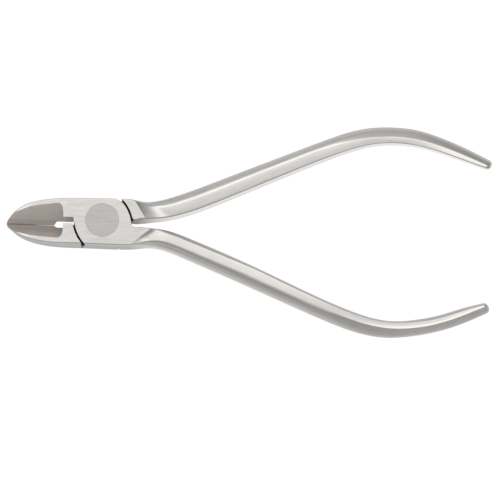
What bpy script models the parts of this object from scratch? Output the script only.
"""Diagonal cutting nippers with a lapped joint: two forged levers, a flush pivot rivet and two
brazed cutting inserts.

Frame: +Z is the pivot axis and the thickness, +X runs towards the handles, the jaws point to -X.
The origin lies on the pivot axis, on the flat back face. Front is +Z, back is -Z, upper is +Y and
lower is -Y. A handle's inner edge faces the other handle. Each lever crosses over at the joint:
the front lever has the upper jaw and the lower handle, the rear lever the lower jaw and the upper
handle. Lengths are in millimetres and become metres when a mesh is made.
"""

import math

import bmesh
import bpy
import numpy as np

MM = 0.001

# ---- joint and jaws ----------------------------------------------------------------------------
THICK = 8.6            # thickness of the joint
LAP = THICK / 2        # height of the lap plane
LAP_PLAY = 0.025       # each lever stands this far off the lap plane
BODY_Y = -0.32         # centre line of the body's outline at the joint
EDGE_Y = -0.53         # line where the cutting edges meet
JAW_TIP_X = -26.05
JOINT_X = 4.0          # handle end of the straight slices through jaws and joint
CORNER = 0.22          # edge break on jaws and joint

SHOULDER_R = 7.875     # hidden shoulders in the back half: middle of the gap, about the pivot
SHOULDER_GAP = 0.35
BOSS_R = SHOULDER_R - SHOULDER_GAP / 2     # wall of the gap on the rear lever
SOCKET_R = SHOULDER_R + SHOULDER_GAP / 2   # wall of the gap on the front lever
SHOULDER_JAW_DEG = 128      # where the shoulders end above the jaws
SHOULDER_HANDLE_DEG = -56   # where they end below the handles
BOSS_JAW_DEG = 184.5        # start of the rear lever's shoulder at the jaws
BOSS_HANDLE_Y = 0.62        # start of the rear lever's shoulder at the handles

# the two slits visible in the front half: centre x, centre y, radius, side of the circle
HANDLE_SLIT = (-2.44, -1.96, 10.64, 1)
JAW_SLIT = (2.93, 0.76, 10.72, -1)
SLIT_WIDTH = 0.54
JAW_SLIT_Y = (-1.5, -8.5)               # start and end of the jaw slit's walls
HANDLE_SLIT_FRONT_Y = (4.8, -1.2)       # the same for the handle slit, on the front lever
HANDLE_SLIT_REAR_Y = (0.85, 8.2)        # and on the rear lever
SWEEP_R = 7.93         # the front lever stays within this radius beside the jaw slit
# x, y of the front lever's rounded corner at the upper end of the handle slit
SLIT_CORNER = [(2.4, 7.4), (3.0, 6.04), (3.45, 5.93), (3.9, 5.78), (4.3, 5.60), (4.68, 5.36),
               (5.0, 5.08)]
# x, y of the front lever's edge from the relief opening to the jaw slit
FRONT_RELIEF_EDGE = [(-7.72, 0.3), (-7.50, -0.5), (-7.38, -1.0)]
# x, y where the handles' inner edges leave the joint
LOWER_ROOT = [(8.42, -1.47), (8.9, -1.54), (9.6, -1.57), (10.5, -1.25)]
UPPER_ROOT = [(8.25, 0.56), (9.0, 0.50), (9.6, 0.55), (10.5, 0.25)]

# relief opening between the cutting edges and the pivot
RELIEF_TOP = 0.58
RELIEF_LOW = -1.20
RELIEF_TIP_X = -12.55
RELIEF_PIVOT_X = -7.83
RELIEF_OFFSET = 0.02   # small offset of neighbouring faces at the opening

# cutting inserts
INSERT_W = 1.11
UPPER_SEAT = EDGE_Y + INSERT_W
LOWER_SEAT = EDGE_Y - INSERT_W
SEAT_INSET = 0.012     # the insert is narrower than its seat by this much
EDGE_GAP_TIP = 0.015   # distance of an edge from the edge line, up to EDGE_STRAIGHT_X
EDGE_GAP_END = 0.06    # the same at the edges' pivot end
EDGE_STRAIGHT_X = -18.0
EDGE_END_X = -13.25
INSERT_BLANK_X = -9.5  # pivot end of the blank an insert is trimmed from

# ground valley over both jaws
LAND = 0.12            # height left at the cutting edge
INSERT_WALL_Z = 1.54   # valley height at the insert's outer side
WALL_FAR = (6.0, 10.05)     # distance from the edge line and height of a point on the outer wall
UPPER_WIDENING = 1.05       # scale of the valley's width beyond the insert
LOWER_WIDENING = 0.94
VALLEY_X = (-28.0, -20.0, -13.4)        # stations ahead of the valley's rounded end
VALLEY_ROUND_X = (-13.0, -10.5)
VALLEY_STEP = 0.25

# ---- rivet -------------------------------------------------------------------------------------
HEAD_R = 4.50
HEAD_Z = 6.40          # underside of the head
HEAD_BREAK = 0.08      # edge break at the front of the head
HEAD_LOW_BREAK = (0.02, 0.05)   # radial and axial edge break at its underside
SHANK_R = 3.00
TAIL_R = 3.70          # flush spread end
TAIL_Z = 0.90
RUNNING = 0.04         # clearance of shank and head in the front lever, radial and axial
FAST = 0.02            # clearance of shank and tail in the rear lever, radial and axial
TAIL_FLARE = 0.62      # growth of the rear bore's cutter below the back face
TAIL_FLARE_DEPTH = 1.2

# ---- fineness and reach of the cutters ---------------------------------------------------------
STEP_HEAD = 0.9
STEP_JOINT = 0.8
JOINT_RINGS = 4
STEP_NECK = 0.7
STEP_HANDLE = 2.6
NECK_END_X = 20
ARC_POINTS = 5         # on each outer curve of a section
CORNER_POINTS = 3      # on each inner corner
FLAT_POINTS = 2
ROUND = 64
SHOULDER_STEPS = 14
END_RINGS = 4          # on the rounded handle end, this many degrees apart
END_STEP_DEG = 20
END_BLUNTNESS = 0.9    # exponent of the end's shrinking: below 1 is blunter than an ellipse

FAR = 30.0             # beyond everything that has to be cut, in x
ABOVE = 13.0           # heights clear of the levers
BORE_TOP = 12.0
BELOW = -3.0
BORE_LOW = -2
OVERRUN = 0.2          # how far a cutter reaches past the lap plane into the half already cut
OUTWARD = 1.35         # radial factor that carries a shoulder's end clear of the body

HANDLE_X = JOINT_X + JOINT_RINGS * STEP_JOINT   # first handle section
INNER_ADVANCE = 0.25   # least advance of a section's inner end per unit of its outer end


# ---- curves ------------------------------------------------------------------------------------
def spline(points):
    """A natural cubic spline y(x) through the points."""
    x = np.array([p[0] for p in points], float)
    y = np.array([p[1] for p in points], float)
    n = len(x)
    gap = np.diff(x)
    matrix = np.eye(n)
    right = np.zeros(n)
    for i in range(1, n - 1):
        matrix[i, i - 1:i + 2] = gap[i - 1], 2 * (gap[i - 1] + gap[i]), gap[i]
        right[i] = 6 * ((y[i + 1] - y[i]) / gap[i] - (y[i] - y[i - 1]) / gap[i - 1])
    bend = np.linalg.solve(matrix, right)   # second derivatives

    def at(q):
        q = min(max(q, x[0]), x[-1])
        i = int(np.clip(np.searchsorted(x, q) - 1, 0, n - 2))
        to_next, done = x[i + 1] - q, q - x[i]
        return float((bend[i] * to_next ** 3 + bend[i + 1] * done ** 3) / (6 * gap[i])
                     + (y[i] / gap[i] - bend[i] * gap[i] / 6) * to_next
                     + (y[i + 1] / gap[i] - bend[i + 1] * gap[i] / 6) * done)

    return at


def ramp(*points):
    """A smooth curve y(x) through the points with no overshoot, constant beyond them."""
    x = [p[0] for p in points]
    y = [p[1] for p in points]
    chords = [(y[i + 1] - y[i]) / (x[i + 1] - x[i]) for i in range(len(x) - 1)]
    inside = [0.0 if a * b <= 0 else 2 * a * b / (a + b) for a, b in zip(chords, chords[1:])]
    slope = [chords[0], *inside, chords[-1]]

    def at(q):
        if q <= x[0]:
            return y[0]
        for i in range(len(x) - 1):
            if q <= x[i + 1]:
                span = x[i + 1] - x[i]
                t = (q - x[i]) / span
                return ((2 * t ** 3 - 3 * t ** 2 + 1) * y[i]
                        + (t ** 3 - 2 * t ** 2 + t) * span * slope[i]
                        + (3 * t ** 2 - 2 * t ** 3) * y[i + 1]
                        + (t ** 3 - t ** 2) * span * slope[i + 1])
        return y[-1]

    return at


def steps(start, end, size):
    """Even steps no longer than size, without the end."""
    n = max(1, int(math.ceil((end - start) / size)))
    return [start + (end - start) * i / n for i in range(n)]


# ---- measured shapes, each value against x -----------------------------------------------------
# centre line of the body's outline, and its half width about that line
body_mid = ramp((JAW_TIP_X, EDGE_Y), (-24.6, -0.42), (-22.4, -0.31), (-15.0, -0.37),
                (-9.0, -0.36), (-4.0, BODY_Y), (12.0, BODY_Y))
body_half = ramp((JAW_TIP_X, 0.10), (-25.80, 0.74), (-25.25, 1.36), (-24.40, 2.12),
                 (-23.30, 3.08), (-21.90, 3.95), (-20.30, 4.64), (-18.40, 5.20), (-16.20, 5.63),
                 (-13.60, 5.95), (-10.50, 6.13), (-4.0, 6.21), (4.5, 6.29), (12.0, 6.33))
# height of the jaws' front face
face_z = ramp((JAW_TIP_X, 1.9), (-25.0, 3.05), (-24.0, 3.95), (-22.1, 5.0), (-19.3, 6.4),
              (-16.5, 7.1), (-14.8, 7.4), (-12.7, 7.76), (-10.8, 8.11), (-9.2, 8.38),
              (-7.6, 8.56), (-6.2, THICK), (0.0, THICK))
# half width of the ground valley
valley_half = ramp((-28.0, 6.0), (-13.4, 6.0), (-12.3, 5.1), (-11.7, 4.72), (-11.2, 4.36),
                   (-10.85, 3.9), (-10.62, 3.3), (-10.5, 2.5))
# outer curve of a handle section: share of the section's width, and of its height
curve_width = ramp((7.6, 0.06), (9.5, 0.16), (13.0, 0.36), (18.0, 0.46), (60.0, 0.46),
                   (75.0, 0.52), (90.0, 0.60), (104.0, 0.62))
curve_height = ramp((7.6, 0.03), (9.5, 0.15), (13.0, 0.38), (18.0, 0.48), (104.0, 0.485))
# end angle of the outer curve: below 90 degrees it meets the flat in a ridge
curve_end = ramp((0.0, 90.0), (55.0, 90.0), (75.0, 78.0), (90.0, 66.0), (104.0, 62.0))
inner_radius = ramp((9.0, 0.25), (14.0, 0.45), (30.0, 0.8), (66.0, 1.5), (85.0, 1.0),
                    (104.0, 0.7))
# slope of the flat towards the inner side
inward_drop = ramp((0.0, 0.0), (50.0, 0.0), (75.0, 0.25), (95.0, 0.45), (104.0, 0.45))
# how far towards +X a section's inner end lies from its outer end
skew = ramp((4.0, 0.0), (8.36, 2.9), (12.0, 2.7), (18.0, 2.1), (60.0, 2.0), (68.0, 1.2),
            (77.0, 0.0), (86.0, -0.8), (94.0, -1.25), (104.0, -1.1))

# Handles. sign: side in y. outer, inner: x and |y| of the edges. face_end: inner and outer end of
# the line where the joint's flat face stops. tail: length of the rounded end. scoop: length of
# the concave run from joint face to handle. ease: exponent of that run. spread: scale of its
# length at the inner and the outer edge. height: section height against x.
UPPER_HANDLE = {
    "sign": 1.0,
    "outer": ((4.0, 5.97), (8.4, 5.86), (11.2, 5.70), (14.3, 6.15), (18.5, 7.42), (24.0, 9.50),
              (34.0, 13.72), (52.0, 21.33), (60.0, 24.68), (66.0, 26.90), (71.5, 28.12),
              (77.3, 28.46), (83.0, 28.07), (90.3, 26.10), (97.0, 23.45), (103.8, 20.20)),
    "inner": ((9.0, 0.48), (13.3, 0.92), (17.6, 1.49), (23.0, 3.01), (34.0, 7.56), (52.0, 15.72),
              (60.3, 19.35), (66.0, 21.55), (71.5, 23.17), (77.5, 23.85), (83.5, 23.46),
              (90.6, 21.80), (97.0, 19.70), (102.8, 17.78)),
    "face_end": ((11.35, 1.04), (8.36, 5.86)),
    "tail": 1.10,
    "scoop": 5.0,
    "ease": 1.6,
    "spread": (3.0, 1.0),
    "height": ((12.0, 6.20), (30.0, 6.10), (56.0, 5.60), (68.0, 4.60), (77.0, 3.90),
               (90.0, 3.30), (104.0, 2.90)),
}
LOWER_HANDLE = {
    "sign": -1.0,
    "outer": ((4.0, 6.60), (7.6, 6.50), (10.5, 6.35), (13.6, 6.44), (17.5, 7.38), (22.4, 9.25),
              (33.0, 13.53), (52.0, 21.41), (61.0, 25.05), (67.0, 27.17), (72.0, 28.41),
              (77.5, 28.92), (83.0, 28.46), (90.3, 26.97), (97.0, 24.67), (103.9, 21.47)),
    "inner": ((9.2, 1.50), (13.5, 1.75), (17.9, 2.16), (23.0, 3.74), (33.0, 7.56), (52.0, 15.82),
              (61.0, 19.67), (67.0, 21.97), (72.0, 23.52), (78.5, 24.47), (85.0, 23.84),
              (91.5, 22.29), (97.8, 20.18), (102.9, 18.77)),
    "face_end": ((13.06, 2.04), (7.60, 6.50)),
    "tail": 1.15,
    "scoop": 2.4,
    "ease": 2.0,
    "spread": (1.0, 2.5),
    "height": ((12.0, 8.20), (17.0, 7.85), (24.0, 7.20), (34.0, 6.50), (56.0, 5.60),
               (68.0, 4.70), (77.0, 4.10), (90.0, 3.50), (104.0, 3.00)),
}


# ---- a lever as one loft from jaw tip to handle end --------------------------------------------
def section(width, low, high, curve_w, curve_h, radius, end_deg=90.0, drop=0.0):
    """Closed section as (distance from the inner side, height).

    The inner side is flat with rounded corners, the outer side ends in two parts of an ellipse,
    each curve_w wide and curve_h high.
    """
    end = math.radians(end_deg)
    axis_w = curve_w / (1 - math.cos(end))
    axis_h = curve_h / math.sin(end)
    slope = drop * (width - curve_w)
    low_in, high_in = low + slope, high - slope

    def flat(start, stop):
        return [(start[0] + (stop[0] - start[0]) * i / FLAT_POINTS,
                 start[1] + (stop[1] - start[1]) * i / FLAT_POINTS) for i in range(FLAT_POINTS)]

    def curve(angle, z, up):
        return (width - axis_w + axis_w * math.cos(angle), z + up * axis_h * math.sin(angle))

    def corner(z, quarter):
        angles = [math.pi / 2 * (quarter + i / CORNER_POINTS) for i in range(CORNER_POINTS)]
        return [(radius + radius * math.cos(t), z + radius * math.sin(t)) for t in angles]

    arc_shares = [i / ARC_POINTS for i in range(ARC_POINTS)]
    return (flat((radius, low_in), (width - curve_w, low))
            + [curve(end * (1 - share), low + curve_h, -1) for share in arc_shares]
            + [(width, low + curve_h)]
            + [curve(end * share, high - curve_h, 1) for share in arc_shares]
            + flat((width - curve_w, high), (radius, high_in))
            + corner(high_in - radius, 1)
            + [(0.0, high_in - radius)]
            + corner(low_in + radius, 2))


def place(inner_end, outer_end, shape):
    """The section's points in space, on the upright plane through the two ends."""
    width = math.dist(inner_end, outer_end)
    along_x = (outer_end[0] - inner_end[0]) / width
    along_y = (outer_end[1] - inner_end[1]) / width
    return [(inner_end[0] + along_x * s, inner_end[1] + along_y * s, z) for s, z in shape]


def head_ring(x, sign):
    """Straight slice over the whole body, its outer side towards sign."""
    half = body_half(x)
    mid = body_mid(x)
    corner = min(CORNER, 0.45 * half)
    shape = section(2 * half, 0.0, face_z(x), corner, corner, corner)
    return place((x, mid - sign * half), (x, mid + sign * half), shape)


def joint_rings(side):
    """Slices whose inner end runs round the joint to the root of the handle."""
    sign = side["sign"]
    outer = spline(side["outer"])
    root_x, root_y = side["inner"][0]
    far_y = BODY_Y - sign * body_half(JOINT_X)
    rings = []
    for i in range(JOINT_RINGS):
        turn = i / JOINT_RINGS * math.pi / 2
        inner_end = (JOINT_X + (root_x - JOINT_X) * math.sin(turn),
                     far_y + (sign * root_y - far_y) * (1 - math.cos(turn)))
        x_out = JOINT_X + i * STEP_JOINT
        outer_end = (x_out, sign * outer(x_out))
        width = math.dist(inner_end, outer_end)
        rings.append(place(inner_end, outer_end,
                           section(width, 0.0, THICK, CORNER, CORNER, CORNER)))
    return rings


def face_share(side, x, y):
    """1 on the joint face, easing to 0 at the end of the scoop."""
    (in_x, in_y), (out_x, out_y) = side["face_end"]
    near, off = side["spread"]
    across = (abs(y) - in_y) / (out_y - in_y)
    beyond = x - (in_x + (out_x - in_x) * across)
    run = side["scoop"] * (near + (off - near) * min(1.0, max(0.0, across)))
    return max(0.0, 1 - max(0.0, beyond) / run) ** side["ease"]


def handle_rings(side):
    """Leaning sections along the handle, then its rounded end."""
    sign = side["sign"]
    outer = spline(side["outer"])
    inner = spline(side["inner"])
    height_at = ramp(*side["height"])
    root_x = side["inner"][0][0]
    last_x = side["outer"][-1][0]
    stations = []
    x = HANDLE_X
    while x < last_x:
        stations.append(x)
        x += STEP_NECK if x < NECK_END_X else STEP_HANDLE
    stations.append(last_x)

    rings = []
    for x_out in stations:
        x_in = max(x_out + skew(x_out), root_x + INNER_ADVANCE * (x_out - HANDLE_X))
        inner_end = (x_in, sign * inner(x_in))
        outer_end = (x_out, sign * outer(x_out))
        width = math.dist(inner_end, outer_end)
        x_mid = (x_in + x_out) / 2
        height = height_at(x_mid)
        shape = section(width, LAP - height / 2, LAP + height / 2,
                        curve_w=max(CORNER, curve_width(x_out) * width),
                        curve_h=max(CORNER, curve_height(x_out) * height),
                        radius=inner_radius(x_mid), end_deg=curve_end(x_mid),
                        drop=inward_drop(x_mid))
        rings.append([
            (x, y, LAP + (z - LAP) * (1 + (THICK / height - 1) * face_share(side, x, y)))
            for x, y, z in place(inner_end, outer_end, shape)])
    return rings + end_rings(rings[-1], inner_end, outer_end, side["tail"])


def end_rings(last, inner_end, outer_end, tail):
    """Copies of the last section that shrink towards its centre over the length of the tail."""
    centre = np.mean(np.array(last), axis=0)
    spokes = np.array(last) - centre
    across = np.array(outer_end) - np.array(inner_end)
    across /= np.linalg.norm(across)
    forward = np.array([abs(across[1]), -across[0] * math.copysign(1.0, across[1]), 0.0])
    rings = []
    for i in range(1, END_RINGS + 1):
        t = math.radians(END_STEP_DEG * i)
        rings.append([tuple(centre + spoke * math.cos(t) ** END_BLUNTNESS
                            + forward * tail * math.sin(t)) for spoke in spokes])
    return rings


def lever_blank(name, side):
    head = [head_ring(x, side["sign"]) for x in steps(JAW_TIP_X, JOINT_X, STEP_HEAD)]
    return loft(name, head + joint_rings(side) + handle_rings(side))


# ---- meshes ------------------------------------------------------------------------------------
def make_object(name, bm):
    bmesh.ops.recalc_face_normals(bm, faces=bm.faces)
    if bm.calc_volume(signed=True) < 0:
        bmesh.ops.reverse_faces(bm, faces=bm.faces)
    mesh = bpy.data.meshes.new(name)
    bm.to_mesh(mesh)
    bm.free()
    obj = bpy.data.objects.new(name, mesh)
    bpy.context.scene.collection.objects.link(obj)
    return obj


def as_helper(obj):
    obj.hide_render = True
    obj.display_type = "WIRE"
    return obj


def loft(name, rings):
    """A solid through rings with equal numbers of points."""
    bm = bmesh.new()
    rows = [[bm.verts.new((x * MM, y * MM, z * MM)) for x, y, z in points] for points in rings]
    n = len(rows[0])
    for one, two in zip(rows, rows[1:]):
        for i in range(n):
            j = (i + 1) % n
            bm.faces.new((one[i], one[j], two[j], two[i]))
    bm.faces.new(rows[0][::-1])
    bm.faces.new(rows[-1])
    return make_object(name, bm)


def prism(name, outline, low, high):
    """A helper: a closed outline raised from low to high."""
    bm = bmesh.new()
    face = bm.faces.new([bm.verts.new((x * MM, y * MM, low * MM)) for x, y in outline])
    raised = bmesh.ops.extrude_face_region(bm, geom=[face])
    for item in raised["geom"]:
        if isinstance(item, bmesh.types.BMVert):
            item.co.z = high * MM
    return as_helper(make_object(name, bm))


def turned(name, profile):
    """A solid about the pivot axis, from (radius, height) points that start and end on it."""
    bm = bmesh.new()
    turns = [2 * math.pi * i / ROUND for i in range(ROUND)]
    rows = []
    for r, z in profile:
        if r == 0:
            rows.append([bm.verts.new((0, 0, z * MM))])
        else:
            rows.append([bm.verts.new((r * MM * math.cos(t), r * MM * math.sin(t), z * MM))
                         for t in turns])
    for one, two in zip(rows, rows[1:]):
        for i in range(ROUND):
            j = (i + 1) % ROUND
            corners = (one[i % len(one)], one[j % len(one)], two[j % len(two)], two[i % len(two)])
            # on the axis two corners are the same vertex, which makes a triangle
            bm.faces.new(list(dict.fromkeys(corners)))
    return make_object(name, bm)


def cut(obj, cutter, operation="DIFFERENCE"):
    modifier = obj.modifiers.new(cutter.name, "BOOLEAN")
    modifier.operation = operation
    modifier.solver = "EXACT"
    modifier.object = cutter


# ---- plan outlines of the joint ----------------------------------------------------------------
def slit_wall(slit, offset, y_range, n=12):
    """Points along one wall of a visible slit, offset outwards from its middle circle."""
    centre_x, centre_y, radius, side = slit
    start, end = y_range
    ys = [start + (end - start) * i / n for i in range(n + 1)]
    return [(centre_x + side * math.sqrt((radius + offset) ** 2 - (y - centre_y) ** 2), y)
            for y in ys]


def scaled(point, factor):
    return (point[0] * factor, point[1] * factor)


def shoulder(radius, start_deg, end_deg):
    """An arc about the pivot, then a point straight outwards from its end."""
    angles = [math.radians(start_deg + (end_deg - start_deg) * i / SHOULDER_STEPS)
              for i in range(SHOULDER_STEPS + 1)]
    points = [(radius * math.cos(t), radius * math.sin(t)) for t in angles]
    return points + [scaled(points[-1], OUTWARD)]


def angle_at(y, radius):
    return math.degrees(math.asin(y / radius))


# the rear lever's jaw edge: seat of the insert, then down into the relief opening
LOWER_JAW_EDGE = [(-FAR, LOWER_SEAT), (RELIEF_TIP_X + RELIEF_OFFSET, LOWER_SEAT),
                  (RELIEF_TIP_X + RELIEF_OFFSET, RELIEF_LOW)]


# ---- pieces; the outlines' outermost corners only have to clear the body ------------------------
def front_lever(valley):
    lever = lever_blank("front_lever", LOWER_HANDLE)
    # front half: below the upper jaw, up to the jaw slit
    wall = [scaled(p, min(1.0, SWEEP_R / math.hypot(*p)))
            for p in slit_wall(JAW_SLIT, -SLIT_WIDTH / 2, JAW_SLIT_Y, n=24)]
    jaw_side = ([(-FAR, UPPER_SEAT), (RELIEF_PIVOT_X - RELIEF_OFFSET, RELIEF_TOP)]
                + FRONT_RELIEF_EDGE + wall + [(-FAR, -9.5)])
    cut(lever, prism("cut_front_jaw_side", jaw_side, LAP - OVERRUN, ABOVE))
    # front half: beyond the handle slit
    handle_side = (SLIT_CORNER + slit_wall(HANDLE_SLIT, -SLIT_WIDTH / 2, HANDLE_SLIT_FRONT_Y)
                   + LOWER_ROOT + [(FAR, 2.0), (FAR, 9.5), (SLIT_CORNER[0][0], 9.5)])
    cut(lever, prism("cut_front_handle_side", handle_side, LAP - OVERRUN, ABOVE))
    # back half: the room of the rear lever
    back = ([(-FAR, UPPER_SEAT)]
            + shoulder(SOCKET_R, 180 - angle_at(RELIEF_TOP, SOCKET_R), SHOULDER_JAW_DEG)
            + [(12.0, 12.0), (FAR, 9.5), (FAR, 2.0)] + LOWER_ROOT[::-1]
            + shoulder(SOCKET_R, angle_at(LOWER_ROOT[0][1], SOCKET_R), SHOULDER_HANDLE_DEG)
            + [(-FAR, -10.6)])
    cut(lever, prism("cut_front_back_half", back, BELOW, LAP + LAP_PLAY))
    cut(lever, valley)
    shank, head = SHANK_R + RUNNING, HEAD_R + RUNNING
    bore = turned("cut_front_bore", [
        (0, BORE_LOW), (shank, BORE_LOW), (shank, HEAD_Z - RUNNING), (head, HEAD_Z - RUNNING),
        (head, BORE_TOP), (0, BORE_TOP)])
    cut(lever, as_helper(bore))
    return lever


def rear_lever(valley):
    lever = lever_blank("rear_lever", UPPER_HANDLE)
    # front half: the room of the front lever
    front = (LOWER_JAW_EDGE + [(-7.92, RELIEF_LOW + 0.05)]
             + slit_wall(JAW_SLIT, SLIT_WIDTH / 2, JAW_SLIT_Y)
             + [(-5.0, -12.0), (FAR, -12.0), (FAR, -2.0)] + UPPER_ROOT[::-1]
             + slit_wall(HANDLE_SLIT, SLIT_WIDTH / 2, HANDLE_SLIT_REAR_Y) + [(-FAR, 11.0)])
    cut(lever, prism("cut_rear_front_half", front, LAP - LAP_PLAY, ABOVE))
    # back half: above the lower jaw, up to the boss
    jaw_side = (LOWER_JAW_EDGE + [(-8.0, RELIEF_LOW)]
                + shoulder(BOSS_R, BOSS_JAW_DEG, SHOULDER_JAW_DEG) + [(-FAR, 10.9)])
    cut(lever, prism("cut_rear_jaw_side", jaw_side, BELOW, LAP + OVERRUN))
    # back half: below the upper handle, up to the boss
    handle_side = (UPPER_ROOT[::-1]
                   + shoulder(BOSS_R, angle_at(BOSS_HANDLE_Y, BOSS_R), SHOULDER_HANDLE_DEG)
                   + [(FAR, -12.1), (FAR, -2.1)])
    cut(lever, prism("cut_rear_handle_side", handle_side, BELOW, LAP + OVERRUN))
    cut(lever, valley)
    shank, tail = SHANK_R + FAST, TAIL_R + FAST
    bore = turned("cut_rear_bore", [
        (0, -TAIL_FLARE_DEPTH), (tail + TAIL_FLARE, -TAIL_FLARE_DEPTH), (tail, 0.0),
        (shank, TAIL_Z + FAST), (shank, BORE_TOP), (0, BORE_TOP)])
    cut(lever, as_helper(bore))
    return lever


def valley_cutter():
    """The ground valley over both jaws: a V along the edge line, with a rounded pivot end."""
    far_w, far_z = WALL_FAR

    def wall(half, sign, widening):
        z = INSERT_WALL_Z + (far_z - INSERT_WALL_Z) * (half - INSERT_W) / (far_w - INSERT_W)
        y = EDGE_Y + sign * (INSERT_W + (half - INSERT_W) * widening)
        return [(EDGE_Y + sign * INSERT_W, INSERT_WALL_Z), (y, z), (y, ABOVE)]

    rings = []
    for x in [*VALLEY_X, *steps(*VALLEY_ROUND_X, VALLEY_STEP), VALLEY_ROUND_X[1]]:
        half = valley_half(x)
        outline = ([(EDGE_Y, LAND)] + wall(half, 1, UPPER_WIDENING)
                   + wall(half, -1, LOWER_WIDENING)[::-1])
        rings.append([(x, y, z) for y, z in outline])
    return as_helper(loft("cut_valley", rings))


def insert(name, sign, relief_y, valley):
    """A strip along one jaw's cutting edge, from the tip to the relief opening."""
    xs = steps(JAW_TIP_X, INSERT_BLANK_X, STEP_HEAD / 2) + [INSERT_BLANK_X]
    piece = loft(name, [head_ring(x, 1.0) for x in xs])
    seat = EDGE_Y + sign * (INSERT_W - SEAT_INSET)
    edge = EDGE_Y + sign * EDGE_GAP_TIP
    outline = [(-FAR, edge), (EDGE_STRAIGHT_X, edge), (EDGE_END_X, EDGE_Y + sign * EDGE_GAP_END),
               (RELIEF_TIP_X, relief_y - sign * RELIEF_OFFSET), (RELIEF_TIP_X, seat),
               (-FAR, seat)]
    cut(piece, prism("keep_" + name, outline, BELOW, BORE_TOP), "INTERSECT")
    cut(piece, valley)
    return piece


def pivot_rivet():
    break_r, break_z = HEAD_LOW_BREAK
    return turned("pivot_rivet", [
        (0, 0), (TAIL_R, 0), (SHANK_R, TAIL_Z), (SHANK_R, HEAD_Z), (HEAD_R - break_r, HEAD_Z),
        (HEAD_R, HEAD_Z + break_z), (HEAD_R, THICK - HEAD_BREAK), (HEAD_R - HEAD_BREAK, THICK),
        (0, THICK)])


def metal(name, colour, roughness):
    material = bpy.data.materials.new(name)
    material.use_nodes = True
    shader = material.node_tree.nodes["Principled BSDF"]
    shader.inputs["Base Color"].default_value = (*colour, 1.0)
    shader.inputs["Roughness"].default_value = roughness
    shader.inputs["Metallic"].default_value = 1.0
    return material


def lever_body(name):
    """The empty that carries a lever and all that moves with it."""
    body = bpy.data.objects.new(name, None)
    bpy.context.scene.collection.objects.link(body)
    return body


def finish(obj, material, body):
    obj.data.materials.append(material)
    obj.data.shade_smooth()
    obj.data.set_sharp_from_angle(angle=math.radians(30))
    obj.parent = body


def main():
    for obj in list(bpy.data.objects):
        bpy.data.objects.remove(obj, do_unlink=True)

    front_body = lever_body("front_body")
    rear_body = lever_body("rear_body")
    steel = metal("satin_steel", colour=(0.66, 0.65, 0.63), roughness=0.36)
    rivet_steel = metal("rivet_steel", colour=(0.56, 0.55, 0.53), roughness=0.42)
    carbide = metal("hard_metal", colour=(0.34, 0.32, 0.30), roughness=0.30)

    valley = valley_cutter()
    finish(front_lever(valley), steel, front_body)
    finish(insert("upper_jaw_insert", 1, RELIEF_TOP, valley), carbide, front_body)
    finish(rear_lever(valley), steel, rear_body)
    finish(insert("lower_jaw_insert", -1, RELIEF_LOW, valley), carbide, rear_body)
    finish(pivot_rivet(), rivet_steel, rear_body)


main()
